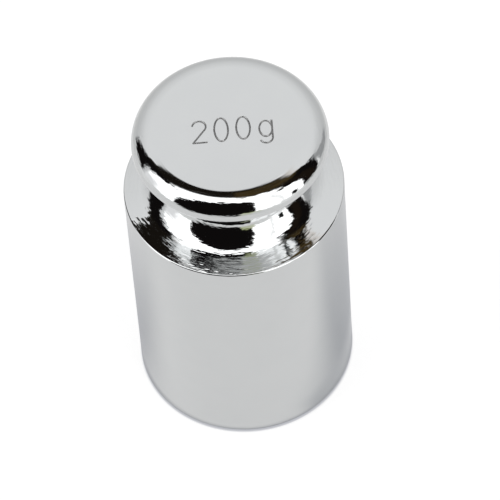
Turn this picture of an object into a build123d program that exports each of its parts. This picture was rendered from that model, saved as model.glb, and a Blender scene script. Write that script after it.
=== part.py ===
from build123d import *
from math import radians, tan
import os

# Knob weight of 200 g: one bar of steel turned to a cylinder with a waisted neck and a knob,
# marked on the knob and plated bright chrome. Millimetres and degrees, +Z up.
# The origin is the centre of the flat base.

# Body: a plain cylinder with an eased base edge and a crisp upper rim.
body_diameter = 28.0
body_height = 36.1
base_edge_radius = 0.8
rim_edge_radius = 0.2

# Shoulder and neck: a shallow cone that rises inwards, then a hollow up to the straight neck.
shoulder_angle = 11.5
shoulder_hollow_radius = 4.2
neck_diameter = 17.0
neck_length = 4.56

# Knob: a flat-topped disc with a full round upper edge and an underside that rises outwards.
knob_diameter = 24.8
knob_thickness = 2.65
knob_underside_angle = 44.0
knob_root_radius = 0.6
knob_lower_edge_radius = 0.4
knob_upper_edge_radius = 2.4

# Marking: the nominal mass in plain single strokes of even depth.
stroke_width = 0.2
stroke_depth = 0.1
digit_height = 3.4
digit_width = 1.7
bowl_height = 2.4
bowl_width = 1.6
tail_drop = 1.0
character_pitch = 2.75
marking_centre_x = 0.4
marking_base_y = -1.8


def reach(radius, turn):
    """How far a rounding takes up each side of a corner that turns by so many degrees."""
    return radius * tan(radians(turn / 2))


def fitting_radius(wanted, turn, room):
    """The wanted radius, or the largest that the straight side beside the corner has room for."""
    return min(wanted, 0.98 * room / reach(1, turn))


def rounded(outline, corner, radius):
    """Round the corner of the outline that lies at the given point."""
    return fillet(outline.vertices().sort_by_distance(corner)[0], radius)


def turned_weight():
    """The bare turned piece: half its outline, with every corner rounded, revolved about its axis."""
    body_radius = body_diameter / 2
    neck_radius = neck_diameter / 2
    knob_radius = knob_diameter / 2
    shoulder_rise = (body_radius - neck_radius) * tan(radians(shoulder_angle))
    underside_rise = (knob_radius - neck_radius) * tan(radians(knob_underside_angle))

    base_corner = Vector(body_radius, 0)
    rim_corner = Vector(body_radius, body_height)
    neck_foot = Vector(neck_radius, body_height + shoulder_rise)
    knob_root = Vector(neck_radius, neck_foot.Y + neck_length)
    knob_edge = Vector(knob_radius, knob_root.Y + underside_rise)
    knob_top = Vector(knob_radius, knob_edge.Y + knob_thickness)

    underside_turn = 90 - knob_underside_angle
    neck_room = neck_length - reach(knob_root_radius, underside_turn)
    hollow_radius = fitting_radius(shoulder_hollow_radius, 90 - shoulder_angle, neck_room)
    knob_room = knob_thickness - reach(knob_lower_edge_radius, underside_turn)
    upper_edge_radius = fitting_radius(knob_upper_edge_radius, 90, knob_room)

    corners = [base_corner, rim_corner, neck_foot, knob_root, knob_edge, knob_top]
    outline = make_face(Polyline((0, 0), *corners, (0, knob_top.Y), close=True))
    outline = rounded(outline, base_corner, base_edge_radius)
    outline = rounded(outline, rim_corner, rim_edge_radius)
    outline = rounded(outline, neck_foot, hollow_radius)
    outline = rounded(outline, knob_root, knob_root_radius)
    outline = rounded(outline, knob_edge, knob_lower_edge_radius)
    outline = rounded(outline, knob_top, upper_edge_radius)
    return revolve(Plane.XZ * outline, axis=Axis.Z)


def stroke(path):
    """A line of the marking: the path widened evenly, with round ends."""
    return SlotArc(path, stroke_width)


def ring(width, height):
    """An upright oval stroke that stands on the base line, measured along the middle of the stroke."""
    half_stroke = stroke_width / 2
    outer = Ellipse(width / 2 + half_stroke, height / 2 + half_stroke)
    inner = Ellipse(width / 2 - half_stroke, height / 2 - half_stroke)
    return Pos(0, height / 2) * (outer - inner)


def figure_two():
    """The 2: a round head that runs down into a straight slope, and a straight foot."""
    head_radius = digit_width / 2
    head = CenterArc((0, digit_height - head_radius), head_radius, 165, -197)
    heel = (-digit_width / 2, 0)
    slope = Line(head @ 1, heel)
    foot = Line(heel, (digit_width / 2, 0))
    return stroke(head) + stroke(slope) + stroke(foot)


def letter_g():
    """The g: an oval bowl on the base line with a straight stem that hooks back below it."""
    side = bowl_width / 2
    hook_height = side - tail_drop
    stem = Line((side, bowl_height), (side, hook_height))
    hook = CenterArc((0, hook_height), side, 0, -150)
    return ring(bowl_width, bowl_height) + stroke(stem) + stroke(hook)


def marking():
    """The four characters side by side, as one flat sketch."""
    characters = [
        figure_two(),
        ring(digit_width, digit_height),
        ring(digit_width, digit_height),
        letter_g(),
    ]
    row_start = marking_centre_x - character_pitch * (len(characters) - 1) / 2
    row = Sketch()
    for place, character in enumerate(characters):
        row += Pos(row_start + place * character_pitch, marking_base_y) * character
    return row


def marked_weight():
    """The weight with the marking cut into the flat top of its knob."""
    blank = turned_weight()
    top_height = blank.bounding_box().max.Z
    return blank - extrude(Pos(0, 0, top_height) * marking(), amount=-stroke_depth)


weight = marked_weight()
weight.label = "weight"
os.makedirs("parts", exist_ok=True)
export_step(weight, "parts/weight.step")
print("weight volume", round(weight.volume, 1), "mm3, mass", round(weight.volume * 7.85e-3, 2), "g")
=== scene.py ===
import math

import bpy
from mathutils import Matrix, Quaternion, Vector
from mathutils.geometry import delaunay_2d_cdt
from mathutils.kdtree import KDTree


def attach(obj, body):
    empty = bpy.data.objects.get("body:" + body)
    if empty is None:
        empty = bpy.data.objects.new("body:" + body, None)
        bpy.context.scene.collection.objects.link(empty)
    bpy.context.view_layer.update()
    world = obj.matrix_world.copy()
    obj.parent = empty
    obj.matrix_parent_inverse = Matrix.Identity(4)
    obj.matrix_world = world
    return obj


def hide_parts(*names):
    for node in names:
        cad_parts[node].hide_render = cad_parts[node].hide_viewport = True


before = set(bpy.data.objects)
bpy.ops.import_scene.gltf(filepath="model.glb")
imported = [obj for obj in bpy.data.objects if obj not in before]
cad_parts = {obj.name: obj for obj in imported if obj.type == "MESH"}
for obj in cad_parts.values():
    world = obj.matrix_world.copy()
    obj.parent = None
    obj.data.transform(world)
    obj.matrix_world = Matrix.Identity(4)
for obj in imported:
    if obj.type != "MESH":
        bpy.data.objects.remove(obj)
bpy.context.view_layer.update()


# Camera: a long lens that looks down on the weight from the front, held a little out of level.
# The weight is 48 mm tall, so the lens stands about 0.6 m off to keep its sides nearly parallel.
camera_place = Vector((0.0, -0.35081, 0.52667))
camera_aim = Vector((0.001385, 0.0, 0.021411))
camera_roll = math.radians(-4.53)
lens_length = 343.5

lens = bpy.data.cameras.new("studio_camera")
lens.lens = lens_length
lens.sensor_width = 36.0
lens.clip_start = 0.05
lens.clip_end = 50.0
camera = bpy.data.objects.new("studio_camera", lens)
camera.location = camera_place
camera.rotation_mode = "QUATERNION"
level = (camera_aim - camera_place).to_track_quat("-Z", "Y")
camera.rotation_quaternion = level @ Quaternion((0, 0, 1), camera_roll)
bpy.context.scene.collection.objects.link(camera)
bpy.context.scene.camera = camera
bpy.context.scene.view_settings.view_transform = "Standard"


# Turned blank: one bar of steel turned to a cylinder, a shallow shoulder, a waisted neck and a
# knob with a flat top. Every corner is eased, so the surface runs round each of them unbroken.
# The hollow tightens where it runs into the neck, and the top starts down gently to its edge.
body_radius = 0.013993
body_height = 0.0361
base_edge_radius = 0.0008
rim_edge_radius = 0.0002
shoulder_angle = math.radians(11.5)
shoulder_hollow_radius = 0.0042
neck_radius = 0.00855
neck_foot_height = 0.0395
neck_foot_angle = math.radians(21.28)
neck_foot_radius = 0.0020
knob_radius = 0.0124
knob_top_height = 0.04819
knob_thickness = 0.002615
knob_underside_angle = math.radians(44.0)
knob_root_radius = 0.0006
knob_lower_edge_radius = 0.0004
knob_upper_edge_radius = 0.0024
crown_radius = 0.0055
crown_angle = math.radians(9.5)

sides_round = 360
step_round_a_corner = math.radians(4.0)
longest_straight_step = 0.003

shoulder_rise = (body_radius - neck_radius) * math.tan(shoulder_angle)
hollow_fall = (neck_foot_height - body_height - shoulder_rise) / (
    math.cos(neck_foot_angle) - math.sin(neck_foot_angle) * math.tan(shoulder_angle))
hollow_corner = Vector((neck_radius + hollow_fall * math.sin(neck_foot_angle),
                        neck_foot_height - hollow_fall * math.cos(neck_foot_angle)))
knob_edge_height = knob_top_height - knob_thickness
knob_root_height = knob_edge_height - (knob_radius - neck_radius) * math.tan(knob_underside_angle)
crown_step = crown_radius - knob_upper_edge_radius
knob_widest_height = knob_top_height - crown_radius + crown_step * math.cos(crown_angle)
side_turn = math.radians(90) - crown_angle
knob_side_height = knob_widest_height + knob_upper_edge_radius * math.tan(side_turn / 2)
flat_top_radius = knob_radius - knob_upper_edge_radius - crown_step * math.sin(crown_angle)
crown_corner_radius = flat_top_radius + crown_radius * math.tan(crown_angle / 2)

turned_corners = [
    (Vector((body_radius, 0.0)), base_edge_radius),
    (Vector((body_radius, body_height)), rim_edge_radius),
    (hollow_corner, shoulder_hollow_radius),
    (Vector((neck_radius, neck_foot_height)), neck_foot_radius),
    (Vector((neck_radius, knob_root_height)), knob_root_radius),
    (Vector((knob_radius, knob_edge_height)), knob_lower_edge_radius),
    (Vector((knob_radius, knob_side_height)), knob_upper_edge_radius),
    (Vector((crown_corner_radius, knob_top_height)), crown_radius),
]


def eased_corner(before, corner, after, radius):
    """Places and outward normals round one corner of the outline, from one straight to the next."""
    heading_in = (corner - before).normalized()
    heading_out = (after - corner).normalized()
    turn = math.atan2(heading_in.x * heading_out.y - heading_in.y * heading_out.x,
                      heading_in.dot(heading_out))
    outside = math.copysign(1.0, turn)
    start = corner - heading_in * radius * math.tan(abs(turn) / 2)
    centre = start - outside * radius * Vector((heading_in.y, -heading_in.x))
    first_angle = math.atan2(-heading_in.x, heading_in.y)
    steps = max(4, math.ceil(abs(turn) / step_round_a_corner))
    stretch = []
    for step in range(steps + 1):
        angle = first_angle + turn * step / steps
        normal = Vector((math.cos(angle), math.sin(angle)))
        stretch.append((centre + outside * radius * normal, normal))
    return stretch


def turned_outline():
    """The outline from the middle of the base up to the edge of the flat top."""
    places = [Vector((0.0, 0.0))] + [corner for corner, radius in turned_corners]
    places.append(Vector((0.0, knob_top_height)))
    outline = [(Vector((body_radius * 0.5, 0.0)), Vector((0.0, -1.0)))]
    for index, (corner, radius) in enumerate(turned_corners):
        arc = eased_corner(places[index], corner, places[index + 2], radius)
        last_place, last_normal = outline[-1]
        straight = arc[0][0] - last_place
        pieces = math.ceil(straight.length / longest_straight_step)
        for piece in range(1, pieces):
            outline.append((last_place + straight * piece / pieces, last_normal))
        outline.extend(arc)
    return outline


def turned_rings():
    """Vertices, normals and faces of the blank up to the edge of its flat top, which stays open."""
    outline = turned_outline()
    vertices = []
    normals = []
    for place, normal in outline:
        for side in range(sides_round):
            turn = 2 * math.pi * side / sides_round
            vertices.append((place.x * math.cos(turn), place.x * math.sin(turn), place.y))
            normals.append((normal.x * math.cos(turn), normal.x * math.sin(turn), normal.y))
    faces = []
    for ring in range(len(outline) - 1):
        for side in range(sides_round):
            along = (side + 1) % sides_round
            low = ring * sides_round
            high = low + sides_round
            faces.append((low + side, low + along, high + along, high + side))
    faces.append(tuple(reversed(range(sides_round))))
    return vertices, normals, faces


# Marking: the nominal mass, four characters cut one at a time into the flat top with a round-nosed
# tool, so they stand a hair out of line with each other. The plating is dull down in the cut.
# Each stroke is a path that the cut follows; the top is finely divided there to carry it.
cut_width = 0.00024
cut_depth = 0.00010
two_height = 0.0033
nought_heights = (0.00355, 0.0034)
digit_width = 0.0017
bowl_height = 0.0024
bowl_width = 0.0016
tail_drop = 0.0010
character_places = [
    (-0.00375, -0.00185),
    (-0.00102, -0.00187),
    (0.00172, -0.00177),
    (0.00452, -0.00165),
]
marked_low = Vector((-0.0050, -0.0031))
marked_high = Vector((0.0057, 0.0021))
division = 0.00005
path_step = 0.00002
dull_share_of_depth = 0.12
joining_distance = 1e-9


def arc_path(centre, across, up, start, sweep):
    """Places along an arc of an oval, angles in degrees anticlockwise from the right."""
    length = math.radians(abs(sweep)) * max(across, up)
    steps = math.ceil(length / path_step)
    path = []
    for step in range(steps + 1):
        angle = math.radians(start + sweep * step / steps)
        path.append(Vector((centre[0] + across * math.cos(angle), centre[1] + up * math.sin(angle))))
    return path


def line_path(start, end):
    """Places along a straight stroke."""
    run = Vector(end) - Vector(start)
    steps = math.ceil(run.length / path_step)
    return [Vector(start) + run * step / steps for step in range(steps + 1)]


def figure_two():
    """A round head that runs down into a straight slope, and a straight foot."""
    head_radius = digit_width / 2
    head = arc_path((0, two_height - head_radius), head_radius, head_radius, 165, -197)
    heel = (-digit_width / 2, 0)
    return head + line_path(head[-1], heel) + line_path(heel, (digit_width / 2, 0))


def figure_nought(height):
    """An upright oval that stands on the base line."""
    return arc_path((0, height / 2), digit_width / 2, height / 2, 90, 360)


def letter_g():
    """An oval bowl with a straight stem that hooks back below the line."""
    side = bowl_width / 2
    bowl = arc_path((0, bowl_height / 2), side, bowl_height / 2, 0, 360)
    stem = line_path((side, bowl_height), (side, side - tail_drop))
    hook = arc_path((0, side - tail_drop), side, side, 0, -150)
    return bowl + stem + hook


def marking_paths():
    """Every place that the tool passes over, on the flat top."""
    noughts = [figure_nought(height) for height in nought_heights]
    characters = [figure_two(), *noughts, letter_g()]
    return [place + Vector(start)
            for character, start in zip(characters, character_places)
            for place in character]


def marked_top(first_vertex, edge):
    """The flat top with the marking cut in it, joined to the given edge vertices of the blank."""
    places = marking_paths()
    paths = KDTree(len(places))
    for index, place in enumerate(places):
        paths.insert((place.x, place.y, 0), index)
    paths.balance()

    columns = round((marked_high.x - marked_low.x) / division)
    rows = round((marked_high.y - marked_low.y) / division)
    half_width = cut_width / 2
    vertices = []
    normals = []
    depths = []
    for row in range(rows + 1):
        for column in range(columns + 1):
            spot = Vector((marked_low.x + column * division, marked_low.y + row * division, 0))
            nearest, index, distance = paths.find(spot)
            across = min(distance / half_width, 1.0)
            depth = cut_depth * (1 - across * across) ** 2
            slope = 4 * cut_depth / half_width * across * (1 - across * across)
            away = (spot - nearest).normalized()
            vertices.append((spot.x, spot.y, knob_top_height - depth))
            normals.append(Vector((-away.x * slope, -away.y * slope, 1.0)).normalized())
            depths.append(depth)

    faces = []
    cut_faces = []
    for row in range(rows):
        for column in range(columns):
            corner = row * (columns + 1) + column
            loop = (corner, corner + 1, corner + columns + 2, corner + columns + 1)
            faces.append(tuple(first_vertex + index for index in loop))
            cut_faces.append(sum(depths[index] for index in loop) / 4 > dull_share_of_depth * cut_depth)

    border = list(range(columns + 1))
    border += [row * (columns + 1) + columns for row in range(1, rows + 1)]
    border += [rows * (columns + 1) + column for column in range(columns - 1, -1, -1)]
    border += [row * (columns + 1) for row in range(rows - 1, 0, -1)]
    edge_places = [Vector(place[:2]) for index, place in edge]
    border_places = [Vector(vertices[index][:2]) for index in border]
    names = [index for index, place in edge] + [first_vertex + index for index in border]
    rim = [(index, (index + 1) % len(edge)) for index in range(len(edge))]
    inner = [(len(edge) + index, len(edge) + (index + 1) % len(border)) for index in range(len(border))]
    filled = delaunay_2d_cdt(edge_places + border_places, rim + inner, [], 1, joining_distance)
    for triangle in filled[2]:
        middle = sum((filled[0][index] for index in triangle), Vector((0, 0))) / 3
        within_across = marked_low.x < middle.x < marked_high.x
        within_up = marked_low.y < middle.y < marked_high.y
        if within_across and within_up:
            continue
        faces.append(tuple(names[filled[3][index][0]] for index in triangle))
        cut_faces.append(False)
    return vertices, normals, faces, cut_faces


def marked_weight():
    """The whole weight as one closed mesh: the turned blank with its marked top."""
    vertices, normals, faces = turned_rings()
    blank_faces = len(faces)
    first_edge = len(vertices) - sides_round
    edge = [(index, vertices[index]) for index in range(first_edge, len(vertices))]
    top_vertices, top_normals, top_faces, cut_faces = marked_top(len(vertices), edge)
    mesh = bpy.data.meshes.new("plated_weight")
    mesh.from_pydata(vertices + top_vertices, [], faces + top_faces)
    mesh.polygons.foreach_set("use_smooth", [True] * len(mesh.polygons))
    mesh.polygons.foreach_set("material_index", [0] * blank_faces + [int(cut) for cut in cut_faces])
    mesh.normals_split_custom_set_from_vertices([tuple(normal) for normal in normals + top_normals])
    mesh.update()
    return mesh


weight = bpy.data.objects.new("plated_weight", marked_weight())
bpy.context.scene.collection.objects.link(weight)
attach(weight, "root")
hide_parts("weight")


# Bright chrome: nickel and chromium plated over turned and buffed steel. The plate is a mirror with
# short turning marks round the axis and the slight waviness of buffing. The marks are drawn coarser
# than a lathe leaves them, so that they show, and are faint on the smooth flat top and body.
chrome_colour = (0.655, 0.665, 0.665)
chrome_dark = (0.63, 0.64, 0.645)
buffed_roughness = (0.03, 0.07)
turning_mark_width = 0.00032
turning_mark_length = 0.0014
turning_mark_height = 0.000024
smooth_share = 0.01
smooth_to_below_top = 0.0003
smooth_to_rim = (-0.0005, 0.0002)
buffing_wave_spacing = 0.0022
buffing_wave_height = 0.0000018
colour_spot_spacing = 0.004
haze_spacing = 0.0015


def add(tree, kind, **settings):
    """A new node with its settings made."""
    node = tree.nodes.new(kind)
    for name, value in settings.items():
        setattr(node, name, value)
    return node


def arithmetic(tree, operation, first, second=None):
    """One sum on two values, each a number or another node's output."""
    node = add(tree, "ShaderNodeMath", operation=operation)
    for socket, value in zip(node.inputs, (first, second)):
        if isinstance(value, (int, float)):
            socket.default_value = value
        elif value is not None:
            tree.links.new(value, socket)
    return node.outputs[0]


def noise(tree, place, spacing, detail=2.0):
    """Random variation from 0 to 1 whose spots are about that far apart, in metres."""
    node = add(tree, "ShaderNodeTexNoise")
    node.inputs["Scale"].default_value = 1.0 / spacing
    node.inputs["Detail"].default_value = detail
    tree.links.new(place, node.inputs["Vector"])
    return node.outputs["Fac"]


def spread(tree, value, low, high):
    """Stretches a 0 to 1 value over a range of numbers."""
    node = add(tree, "ShaderNodeMapRange")
    node.inputs["To Min"].default_value = low
    node.inputs["To Max"].default_value = high
    tree.links.new(value, node.inputs["Value"])
    return node.outputs["Result"]


def fade(tree, value, start, end):
    """0 before the start, 1 after the end and a smooth change between them."""
    node = add(tree, "ShaderNodeMapRange", interpolation_type="SMOOTHSTEP")
    node.inputs["From Min"].default_value = start
    node.inputs["From Max"].default_value = end
    tree.links.new(value, node.inputs["Value"])
    return node.outputs["Result"]


def plated_metal(name, light_colour, dark_colour):
    """A metal whose colour drifts slightly from spot to spot, with its node tree and main node."""
    metal = bpy.data.materials.new(name)
    metal.use_nodes = True
    tree = metal.node_tree
    shader = tree.nodes["Principled BSDF"]
    shader.inputs["Metallic"].default_value = 1.0
    place = add(tree, "ShaderNodeTexCoord").outputs["Object"]
    colours = add(tree, "ShaderNodeMix", data_type="RGBA")
    colours.inputs["A"].default_value = (*dark_colour, 1.0)
    colours.inputs["B"].default_value = (*light_colour, 1.0)
    tree.links.new(noise(tree, place, colour_spot_spacing, 4.0), colours.inputs["Factor"])
    tree.links.new(colours.outputs["Result"], shader.inputs["Base Color"])
    return metal, tree, shader, place


def bright_chrome():
    """The mirror plate: turning lines, buffing waves and a fine haze that comes and goes."""
    metal, tree, shader, place = plated_metal("bright_chrome", chrome_colour, chrome_dark)

    split = add(tree, "ShaderNodeSeparateXYZ")
    tree.links.new(place, split.inputs[0])
    across, depth, height = split.outputs
    squared = arithmetic(tree, "ADD", arithmetic(tree, "MULTIPLY", across, across),
                         arithmetic(tree, "MULTIPLY", depth, depth))
    from_axis = arithmetic(tree, "SQRT", squared)
    turn = arithmetic(tree, "ARCTAN2", depth, across)
    round_axis = arithmetic(tree, "MULTIPLY", turn, knob_radius * turning_mark_width / turning_mark_length)
    lathe_place = add(tree, "ShaderNodeCombineXYZ")
    tree.links.new(from_axis, lathe_place.inputs[0])
    tree.links.new(round_axis, lathe_place.inputs[1])
    tree.links.new(height, lathe_place.inputs[2])

    below_top = fade(tree, height, knob_top_height, knob_top_height - smooth_to_below_top)
    above_body = fade(tree, height, body_height + smooth_to_rim[0], body_height + smooth_to_rim[1])
    turned_zone = arithmetic(tree, "MULTIPLY", below_top, above_body)
    marks = add(tree, "ShaderNodeBump")
    marks.inputs["Distance"].default_value = turning_mark_height
    tree.links.new(spread(tree, turned_zone, smooth_share, 1.0), marks.inputs["Strength"])
    tree.links.new(noise(tree, lathe_place.outputs[0], turning_mark_width, 1.5), marks.inputs["Height"])
    waves = add(tree, "ShaderNodeBump")
    waves.inputs["Strength"].default_value = 1.0
    waves.inputs["Distance"].default_value = buffing_wave_height
    tree.links.new(noise(tree, place, buffing_wave_spacing, 1.0), waves.inputs["Height"])
    tree.links.new(marks.outputs["Normal"], waves.inputs["Normal"])
    tree.links.new(waves.outputs["Normal"], shader.inputs["Normal"])

    haze = spread(tree, noise(tree, place, haze_spacing, 5.0), *buffed_roughness)
    tree.links.new(haze, shader.inputs["Roughness"])
    return metal


weight.data.materials.append(bright_chrome())


# Cut metal in the marking: the same plate over the tool's rough furrow, duller and darker.
cut_colour = (0.42, 0.42, 0.42)
cut_colour_dark = (0.25, 0.25, 0.25)
cut_roughness = (0.30, 0.50)
cut_grain_spacing = 0.0003


def cut_metal():
    """The dull plate in the furrow of the marking."""
    metal, tree, shader, place = plated_metal("cut_in_marking", cut_colour, cut_colour_dark)
    grain = noise(tree, place, cut_grain_spacing)
    tree.links.new(spread(tree, grain, *cut_roughness), shader.inputs["Roughness"])
    return metal


weight.data.materials.append(cut_metal())


# Table: a round pale sheet that the weight stands on, part of the studio and not of the object.
# It shows white to the lens and pale in the plate. The shade that the plate mirrors beside the foot,
# and the dark line in the crease round it, are painted in by place and aren't cast by the weight.
table_radius = 0.130
table_sides = 128
table_colour = (0.30, 0.30, 0.30)
table_white_to_lens = 0.80
table_pale_in_plate = 0.62
table_tint = (1.0, 1.0, 1.0)
# Colours and places of the painted shade beside the foot and of the painted dark line in its crease.
painted_shade_left = (0.44, 0.45, 0.49)
painted_shade_right = (0.43, 0.445, 0.485)
painted_shade_foot = (0.62, 0.63, 0.66)
painted_crease_shade = (0.45, 0.46, 0.50)
painted_crease_to_lens = (0.0138, 0.0142)
painted_crease_in_plate = (0.0141, 0.0149)
shade_reach_left = (0.010, 0.042)
shade_reach_right = (0.008, 0.055)
shade_reach_foot = (0.0150, 0.0172)
shade_across_left = (-0.006, -0.012)
shade_across_right = (0.004, 0.011)
shade_across_foot = (0.006, 0.010)
shade_back_left = (-0.011, 0.004)
shade_back_right = (-0.0165, -0.003)
shade_back_foot = (-0.0155, -0.0105)


def hang(tree, behind, colour, shape):
    """Puts one colour in front of what is behind it, where its shape is 1."""
    node = add(tree, "ShaderNodeMix", data_type="RGBA")
    tree.links.new(shape, node.inputs["Factor"])
    tree.links.new(behind, node.inputs["A"])
    node.inputs["B"].default_value = (*colour, 1.0)
    return node.outputs["Result"]


def round_table():
    """A flat disc just under the weight."""
    rim = []
    for side in range(table_sides):
        turn = 2 * math.pi * side / table_sides
        rim.append((table_radius * math.cos(turn), table_radius * math.sin(turn), 0.0))
    mesh = bpy.data.meshes.new("studio_table")
    mesh.from_pydata(rim, [], [tuple(range(table_sides))])
    return mesh


def pale_paper_with_painted_shade():
    """Matt pale paper, with the part of its white that only the lens and the plate see, and painted shade by
    the foot.
    """
    paper = bpy.data.materials.new("pale_paper_with_painted_shade")
    paper.use_nodes = True
    tree = paper.node_tree
    shader = tree.nodes["Principled BSDF"]
    shader.inputs["Base Color"].default_value = (*table_colour, 1.0)
    shader.inputs["Roughness"].default_value = 0.9
    shader.inputs["Specular IOR Level"].default_value = 0.0
    rays = add(tree, "ShaderNodeLightPath")
    place = add(tree, "ShaderNodeTexCoord").outputs["Object"]
    split = add(tree, "ShaderNodeSeparateXYZ")
    tree.links.new(place, split.inputs[0])
    across, back, up = split.outputs
    length = add(tree, "ShaderNodeVectorMath", operation="LENGTH")
    tree.links.new(place, length.inputs[0])
    from_foot = length.outputs["Value"]

    glow_and_painted_shade = add(tree, "ShaderNodeRGB").outputs[0]
    glow_and_painted_shade.default_value = (*table_tint, 1.0)
    # Painted shade: darker colours laid by place beside and behind the foot, seen only in the plate.
    shades = [
        (painted_shade_left, shade_reach_left, shade_across_left, shade_back_left),
        (painted_shade_right, shade_reach_right, shade_across_right, shade_back_right),
        (painted_shade_foot, shade_reach_foot, shade_across_foot, shade_back_foot),
    ]
    for colour, (near, far), side, depth in shades:
        area = arithmetic(tree, "MULTIPLY", fade(tree, across, *side), fade(tree, back, *depth))
        shape = arithmetic(tree, "MULTIPLY", area, fade(tree, from_foot, far, near))
        glow_and_painted_shade = hang(tree, glow_and_painted_shade, colour, shape)
    # Painted shade: a dark line in the crease round the foot, in the plate and to the lens.
    near, far = painted_crease_in_plate
    glow_and_painted_shade = hang(tree, glow_and_painted_shade, painted_crease_shade, fade(tree, from_foot, far, near))
    glow_and_painted_shade = hang(tree, glow_and_painted_shade, (1.0, 1.0, 1.0), rays.outputs["Is Camera Ray"])
    near, far = painted_crease_to_lens
    glow_and_painted_shade = hang(tree, glow_and_painted_shade, painted_crease_shade, fade(tree, from_foot, far, near))
    tree.links.new(glow_and_painted_shade, shader.inputs["Emission Color"])

    to_lens = arithmetic(tree, "MULTIPLY", rays.outputs["Is Camera Ray"], table_white_to_lens)
    in_plate = arithmetic(tree, "MULTIPLY", rays.outputs["Is Glossy Ray"], table_pale_in_plate)
    tree.links.new(arithmetic(tree, "ADD", to_lens, in_plate), shader.inputs["Emission Strength"])
    return paper


table = bpy.data.objects.new("studio_table", round_table())
table.data.materials.append(pale_paper_with_painted_shade())
bpy.context.scene.collection.objects.link(table)


# Studio: a white tent that is open to a grey wall behind, with a black screen in front that hides
# the lens, a black gap at each side and a dark rail high behind. The floor runs out to it all.
# Directions are degrees round from the lens, right positive, and degrees above the table. Each
# edge and level is drawn through a few pairs of these.
tent_light = (2.0, 2.0, 2.0)
tent_fold_light = (1.3, 1.3, 1.3)
tent_side_light = (1.05, 1.05, 1.06)
wall_colour = (1.0, 1.005, 1.01)
wall_levels = [(-90, 0.70), (0, 0.70), (12, 0.73), (30, 0.81), (42, 0.91), (52, 0.985), (60, 1.0), (90, 1.0)]
floor_colour = (1.0, 1.005, 1.0)
floor_levels = [(-180, 0.73), (-125, 0.76), (-98, 0.98), (-80, 0.90), (-60, 0.84), (-40, 0.78), (15, 0.79),
                (32, 0.88), (55, 1.02), (72, 1.00), (86, 0.80), (105, 0.74), (180, 0.73)]
screen_black = (0.006, 0.005, 0.005)
gap_tail_grey = (0.42, 0.425, 0.43)
gap_brown = (0.013, 0.009, 0.006)
rail_black = (0.010, 0.008, 0.006)
rail_brown = (0.075, 0.050, 0.018)
rail_streak = (0.22, 0.21, 0.20)
warm_wall_edge = (0.88, 0.83, 0.78)
olive = (0.54, 0.59, 0.29)
cap_black = (0.02, 0.02, 0.02)

rail_low_edge = [(-180, 56.3), (-172, 57), (-163, 58.2), (-152, 57.5), (-145, 55.5), (-138, 51.5), (-132, 48),
                 (-126, 43), (-118, 44), (-108, 52), (-100, 58), (-88, 60), (-80, 63), (57, 62), (60, 56),
                 (74, 50), (90, 42), (104, 43), (109, 51), (115, 57), (124, 63.3), (132, 65.5), (142, 66.6),
                 (152, 66), (162, 63.7), (172, 59.8), (180, 56.3)]
rail_high_edge = [(-180, 81), (-174, 80), (-166, 78.5), (-158, 77), (-150, 76.5), (-144, 75), (-138, 73),
                  (-131, 71.5), (-125, 69), (-118, 66.5), (-110, 63), (-104, 61.5), (-92, 61), (-80, 57),
                  (55, 53), (62, 57), (70, 61), (76, 66), (82, 71), (90, 77), (98, 81.5), (108, 85),
                  (138, 86), (162, 85), (180, 81)]
left_gap_left_edge = [(-90, -127), (10, -127), (30, -128), (50, -129), (60, -126), (90, -126)]
left_gap_right_edge = [(-90, -102), (8, -102), (20, -104), (36, -108), (47, -105.5), (54, -101), (60, -96),
                       (90, -90)]
right_gap_left_edge = [(-90, 72), (-8, 70.5), (5, 70.5), (14, 72.5), (30, 75), (40, 73), (47, 70), (53, 64),
                       (58, 58), (90, 58)]
right_gap_right_edge = [(-90, 94), (0, 95), (15, 97), (26, 98.5), (37, 104), (45, 107), (55, 110), (90, 110)]
gap_tail_edge = [(-90, 125), (4, 122), (12, 114), (20, 110), (28, 107.5), (38, 105.5), (50, 104), (90, 104)]
screen_left_edge = [(-90, -60), (22, -61), (34, -60), (46, -53.5), (55, -50), (62, -46), (67, -38), (90, -20)]
screen_right_edge = [(-90, 18), (0, 18), (20, 20), (48, 20), (56, 21), (61, 18), (65, 13), (70, 0), (90, 0)]
screen_top_edge = [(-180, 66), (-46, 64), (-30, 68.5), (-4, 69), (14, 66), (180, 66)]
floor_edge = [(-180, -8), (-118, 0), (-98, -6), (-80, -7), (-66, -6), (-58, -8), (-52, -12.5), (-46, -14),
              (-38, -14), (-30, -13.2), (-22, -12), (-12, -12.4), (0, -12.4), (4, -8), (7, 0), (19, 0),
              (24, -5), (34, -9), (44, -12), (84, -12), (98, -9), (118, -9), (180, -8)]
ragged_reach = 2.2
ragged_spacing = 0.05
fold_turns = (44, 48)
side_turns = (-74, -88)
side_rises = (30, 12)
cap_middle = (59.5, -2.0)
cap_half_size = (4.2, 8.5)


def past(tree, value, edge, softness):
    """0 short of an edge, 1 past it, with a soft edge that many degrees wide."""
    return fade(tree, arithmetic(tree, "SUBTRACT", value, edge), -softness / 2, softness / 2)


def between(tree, value, low, high, softness):
    """1 between two directions, with soft edges that many degrees wide."""
    return arithmetic(tree, "MULTIPLY", past(tree, value, low, softness),
                      arithmetic(tree, "SUBTRACT", 1.0, past(tree, value, high, softness)))


def drawn_curve(tree, along, places, reach=180):
    """A number that runs straight from place to place of (degrees along, number within reach)."""
    node = add(tree, "ShaderNodeFloatCurve")
    curve = node.mapping.curves[0]
    while len(curve.points) < len(places):
        curve.points.new(0.5, 0.5)
    for point, (degrees, number) in zip(curve.points, places):
        point.location = ((degrees + 180) / 360, (number + reach) / (2 * reach))
        point.handle_type = "VECTOR"
    node.mapping.update()
    tree.links.new(spread_from(tree, along, -180, 180, 0, 1), node.inputs["Value"])
    return spread_from(tree, node.outputs[0], 0, 1, -reach, reach)


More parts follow.
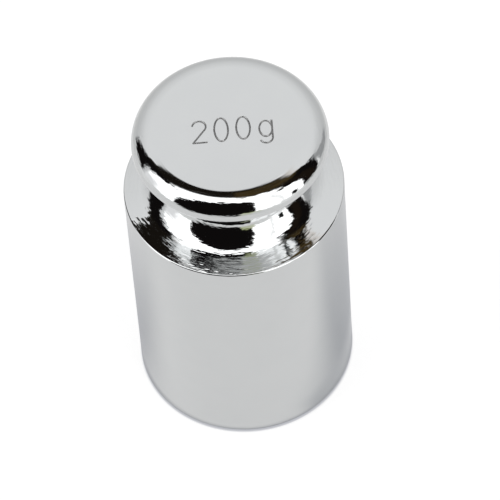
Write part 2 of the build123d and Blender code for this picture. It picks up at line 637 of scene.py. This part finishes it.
def spread_from(tree, value, from_low, from_high, low, high):
    """Carries one range of numbers over to another."""
    node = add(tree, "ShaderNodeMapRange")
    node.inputs["From Min"].default_value = from_low
    node.inputs["From Max"].default_value = from_high
    node.inputs["To Min"].default_value = low
    node.inputs["To Max"].default_value = high
    tree.links.new(value, node.inputs["Value"])
    return node.outputs["Result"]


def streaks(tree, turn, rise, length, width, detail=2.0):
    """Random streaks from 0 to 1 of a length round and a width up, in degrees."""
    place = add(tree, "ShaderNodeCombineXYZ")
    tree.links.new(arithmetic(tree, "DIVIDE", turn, length), place.inputs[0])
    tree.links.new(arithmetic(tree, "DIVIDE", rise, width), place.inputs[1])
    return noise(tree, place.outputs[0], 1.0, detail)


def short_of(tree, value, edge, softness):
    """1 short of an edge, 0 past it, with a soft edge that many degrees wide."""
    return arithmetic(tree, "SUBTRACT", 1.0, past(tree, value, edge, softness))


def plain_colour(tree, colour):
    """One colour all over."""
    node = add(tree, "ShaderNodeRGB")
    node.outputs[0].default_value = (*colour, 1.0)
    return node.outputs[0]


def levelled(tree, colour, level):
    """A colour made lighter or darker by a level."""
    node = add(tree, "ShaderNodeVectorMath", operation="SCALE")
    node.inputs[0].default_value = colour
    tree.links.new(level, node.inputs["Scale"])
    return node.outputs[0]


def overlay(tree, behind, front, shape):
    """Puts one layer in front of another, where its shape is 1."""
    node = add(tree, "ShaderNodeMix", data_type="RGBA")
    tree.links.new(shape, node.inputs["Factor"])
    tree.links.new(behind, node.inputs["A"])
    tree.links.new(front, node.inputs["B"])
    return node.outputs["Result"]


def product(tree, *factors):
    """Several shapes multiplied together."""
    result = factors[0]
    for factor in factors[1:]:
        result = arithmetic(tree, "MULTIPLY", result, factor)
    return result


def studio():
    """The light that comes from every direction."""
    world = bpy.data.worlds.new("studio")
    world.use_nodes = True
    tree = world.node_tree
    tree.nodes.clear()
    direction = add(tree, "ShaderNodeTexCoord").outputs["Generated"]
    split = add(tree, "ShaderNodeSeparateXYZ")
    tree.links.new(direction, split.inputs[0])
    right, ahead, above = split.outputs
    towards_lens = arithmetic(tree, "MULTIPLY", ahead, -1.0)
    turn = arithmetic(tree, "DEGREES", arithmetic(tree, "ARCTAN2", right, towards_lens))
    rise = arithmetic(tree, "DEGREES", arithmetic(tree, "ARCSINE", above))
    turn_either_way = arithmetic(tree, "ABSOLUTE", turn)

    ragged = spread(tree, noise(tree, direction, ragged_spacing, 4.0), -ragged_reach, ragged_reach)
    ragged_turn = arithmetic(tree, "ADD", turn, ragged)
    ragged_rise = arithmetic(tree, "ADD", rise, ragged)
    fine = streaks(tree, turn, rise, 9, 0.7, 3.0)
    rail_rise = arithmetic(tree, "ADD", rise, spread(tree, fine, -5.0, 5.0))

    light = plain_colour(tree, tent_light)
    light = hang(tree, light, tent_fold_light, between(tree, ragged_turn, *fold_turns, 3))
    side = product(tree, fade(tree, turn, *side_turns), fade(tree, rise, *side_rises))
    light = hang(tree, light, tent_side_light, side)

    low_edge = drawn_curve(tree, turn, rail_low_edge)
    high_edge = drawn_curve(tree, turn, rail_high_edge)
    on_right = fade(tree, turn, 84, 125)
    wall = product(tree, short_of(tree, rise, low_edge, 2), past(tree, turn_either_way, 99, 4))
    wall_light = levelled(tree, wall_colour, drawn_curve(tree, rise, wall_levels, 1))
    light = overlay(tree, light, wall_light, wall)
    under_edge = between(tree, rise, arithmetic(tree, "SUBTRACT", low_edge, 2), low_edge, 2)
    light = hang(tree, light, warm_wall_edge, product(tree, under_edge, between(tree, turn, 125, 168, 12)))
    tail = product(tree, between(tree, ragged_turn, 97, drawn_curve(tree, rise, gap_tail_edge), 9),
                   short_of(tree, rise, 52, 8))
    light = hang(tree, light, gap_tail_grey, tail)

    rail = product(tree, past(tree, ragged_rise, low_edge, 2), short_of(tree, rail_rise, high_edge, 11))
    light = hang(tree, light, rail_black, rail)
    flecks = product(tree, rail, past(tree, rise, 67, 4), fade(tree, fine, 0.58, 0.70))
    light = hang(tree, light, rail_streak, flecks)
    brown = spread_from(tree, streaks(tree, turn, rise, 30, 3), 0.25, 0.65, 0.3, 1.0)
    light = hang(tree, light, rail_brown, product(tree, rail, on_right, past(tree, rise, 62, 8), brown))

    under_rail = short_of(tree, ragged_rise, 60, 3)
    left_gap = product(tree, past(tree, ragged_turn, drawn_curve(tree, rise, left_gap_left_edge), 6),
                       short_of(tree, ragged_turn, drawn_curve(tree, rise, left_gap_right_edge), 2.5))
    right_gap = product(tree, past(tree, ragged_turn, drawn_curve(tree, rise, right_gap_left_edge), 2),
                        short_of(tree, turn, drawn_curve(tree, rise, right_gap_right_edge), 5))
    light = hang(tree, light, screen_black, product(tree, left_gap, under_rail))
    light = hang(tree, light, screen_black, product(tree, right_gap, under_rail))
    light = hang(tree, light, gap_brown, product(tree, right_gap, under_rail,
                                                 between(tree, ragged_turn, 76, 88, 6)))

    screen = product(tree, between(tree, ragged_turn, drawn_curve(tree, rise, screen_left_edge),
                                   drawn_curve(tree, rise, screen_right_edge), 2.5),
                     short_of(tree, ragged_rise, drawn_curve(tree, turn, screen_top_edge), 5))
    light = hang(tree, light, screen_black, screen)

    floor = short_of(tree, ragged_rise, drawn_curve(tree, turn, floor_edge), 7)
    floor_light = levelled(tree, floor_colour, drawn_curve(tree, turn, floor_levels, 2))
    floor_light = hang(tree, floor_light, olive, product(tree, between(tree, ragged_turn, 2, 24, 6),
                                                         past(tree, rise, -8, 18)))
    light = overlay(tree, light, floor_light, floor)

    cap_turn = arithmetic(tree, "DIVIDE", arithmetic(tree, "SUBTRACT", turn, cap_middle[0]), cap_half_size[0])
    cap_rise = arithmetic(tree, "DIVIDE", arithmetic(tree, "SUBTRACT", rise, cap_middle[1]), cap_half_size[1])
    cap_reach = arithmetic(tree, "ADD", arithmetic(tree, "MULTIPLY", cap_turn, cap_turn),
                           arithmetic(tree, "MULTIPLY", cap_rise, cap_rise))
    light = hang(tree, light, cap_black, fade(tree, cap_reach, 1.2, 0.8))

    rays = add(tree, "ShaderNodeLightPath")
    light = hang(tree, light, (1.0, 1.0, 1.0), rays.outputs["Is Camera Ray"])
    background = add(tree, "ShaderNodeBackground")
    tree.links.new(light, background.inputs["Color"])
    output = add(tree, "ShaderNodeOutputWorld")
    tree.links.new(background.outputs[0], output.inputs["Surface"])
    return world


bpy.context.scene.world = studio()
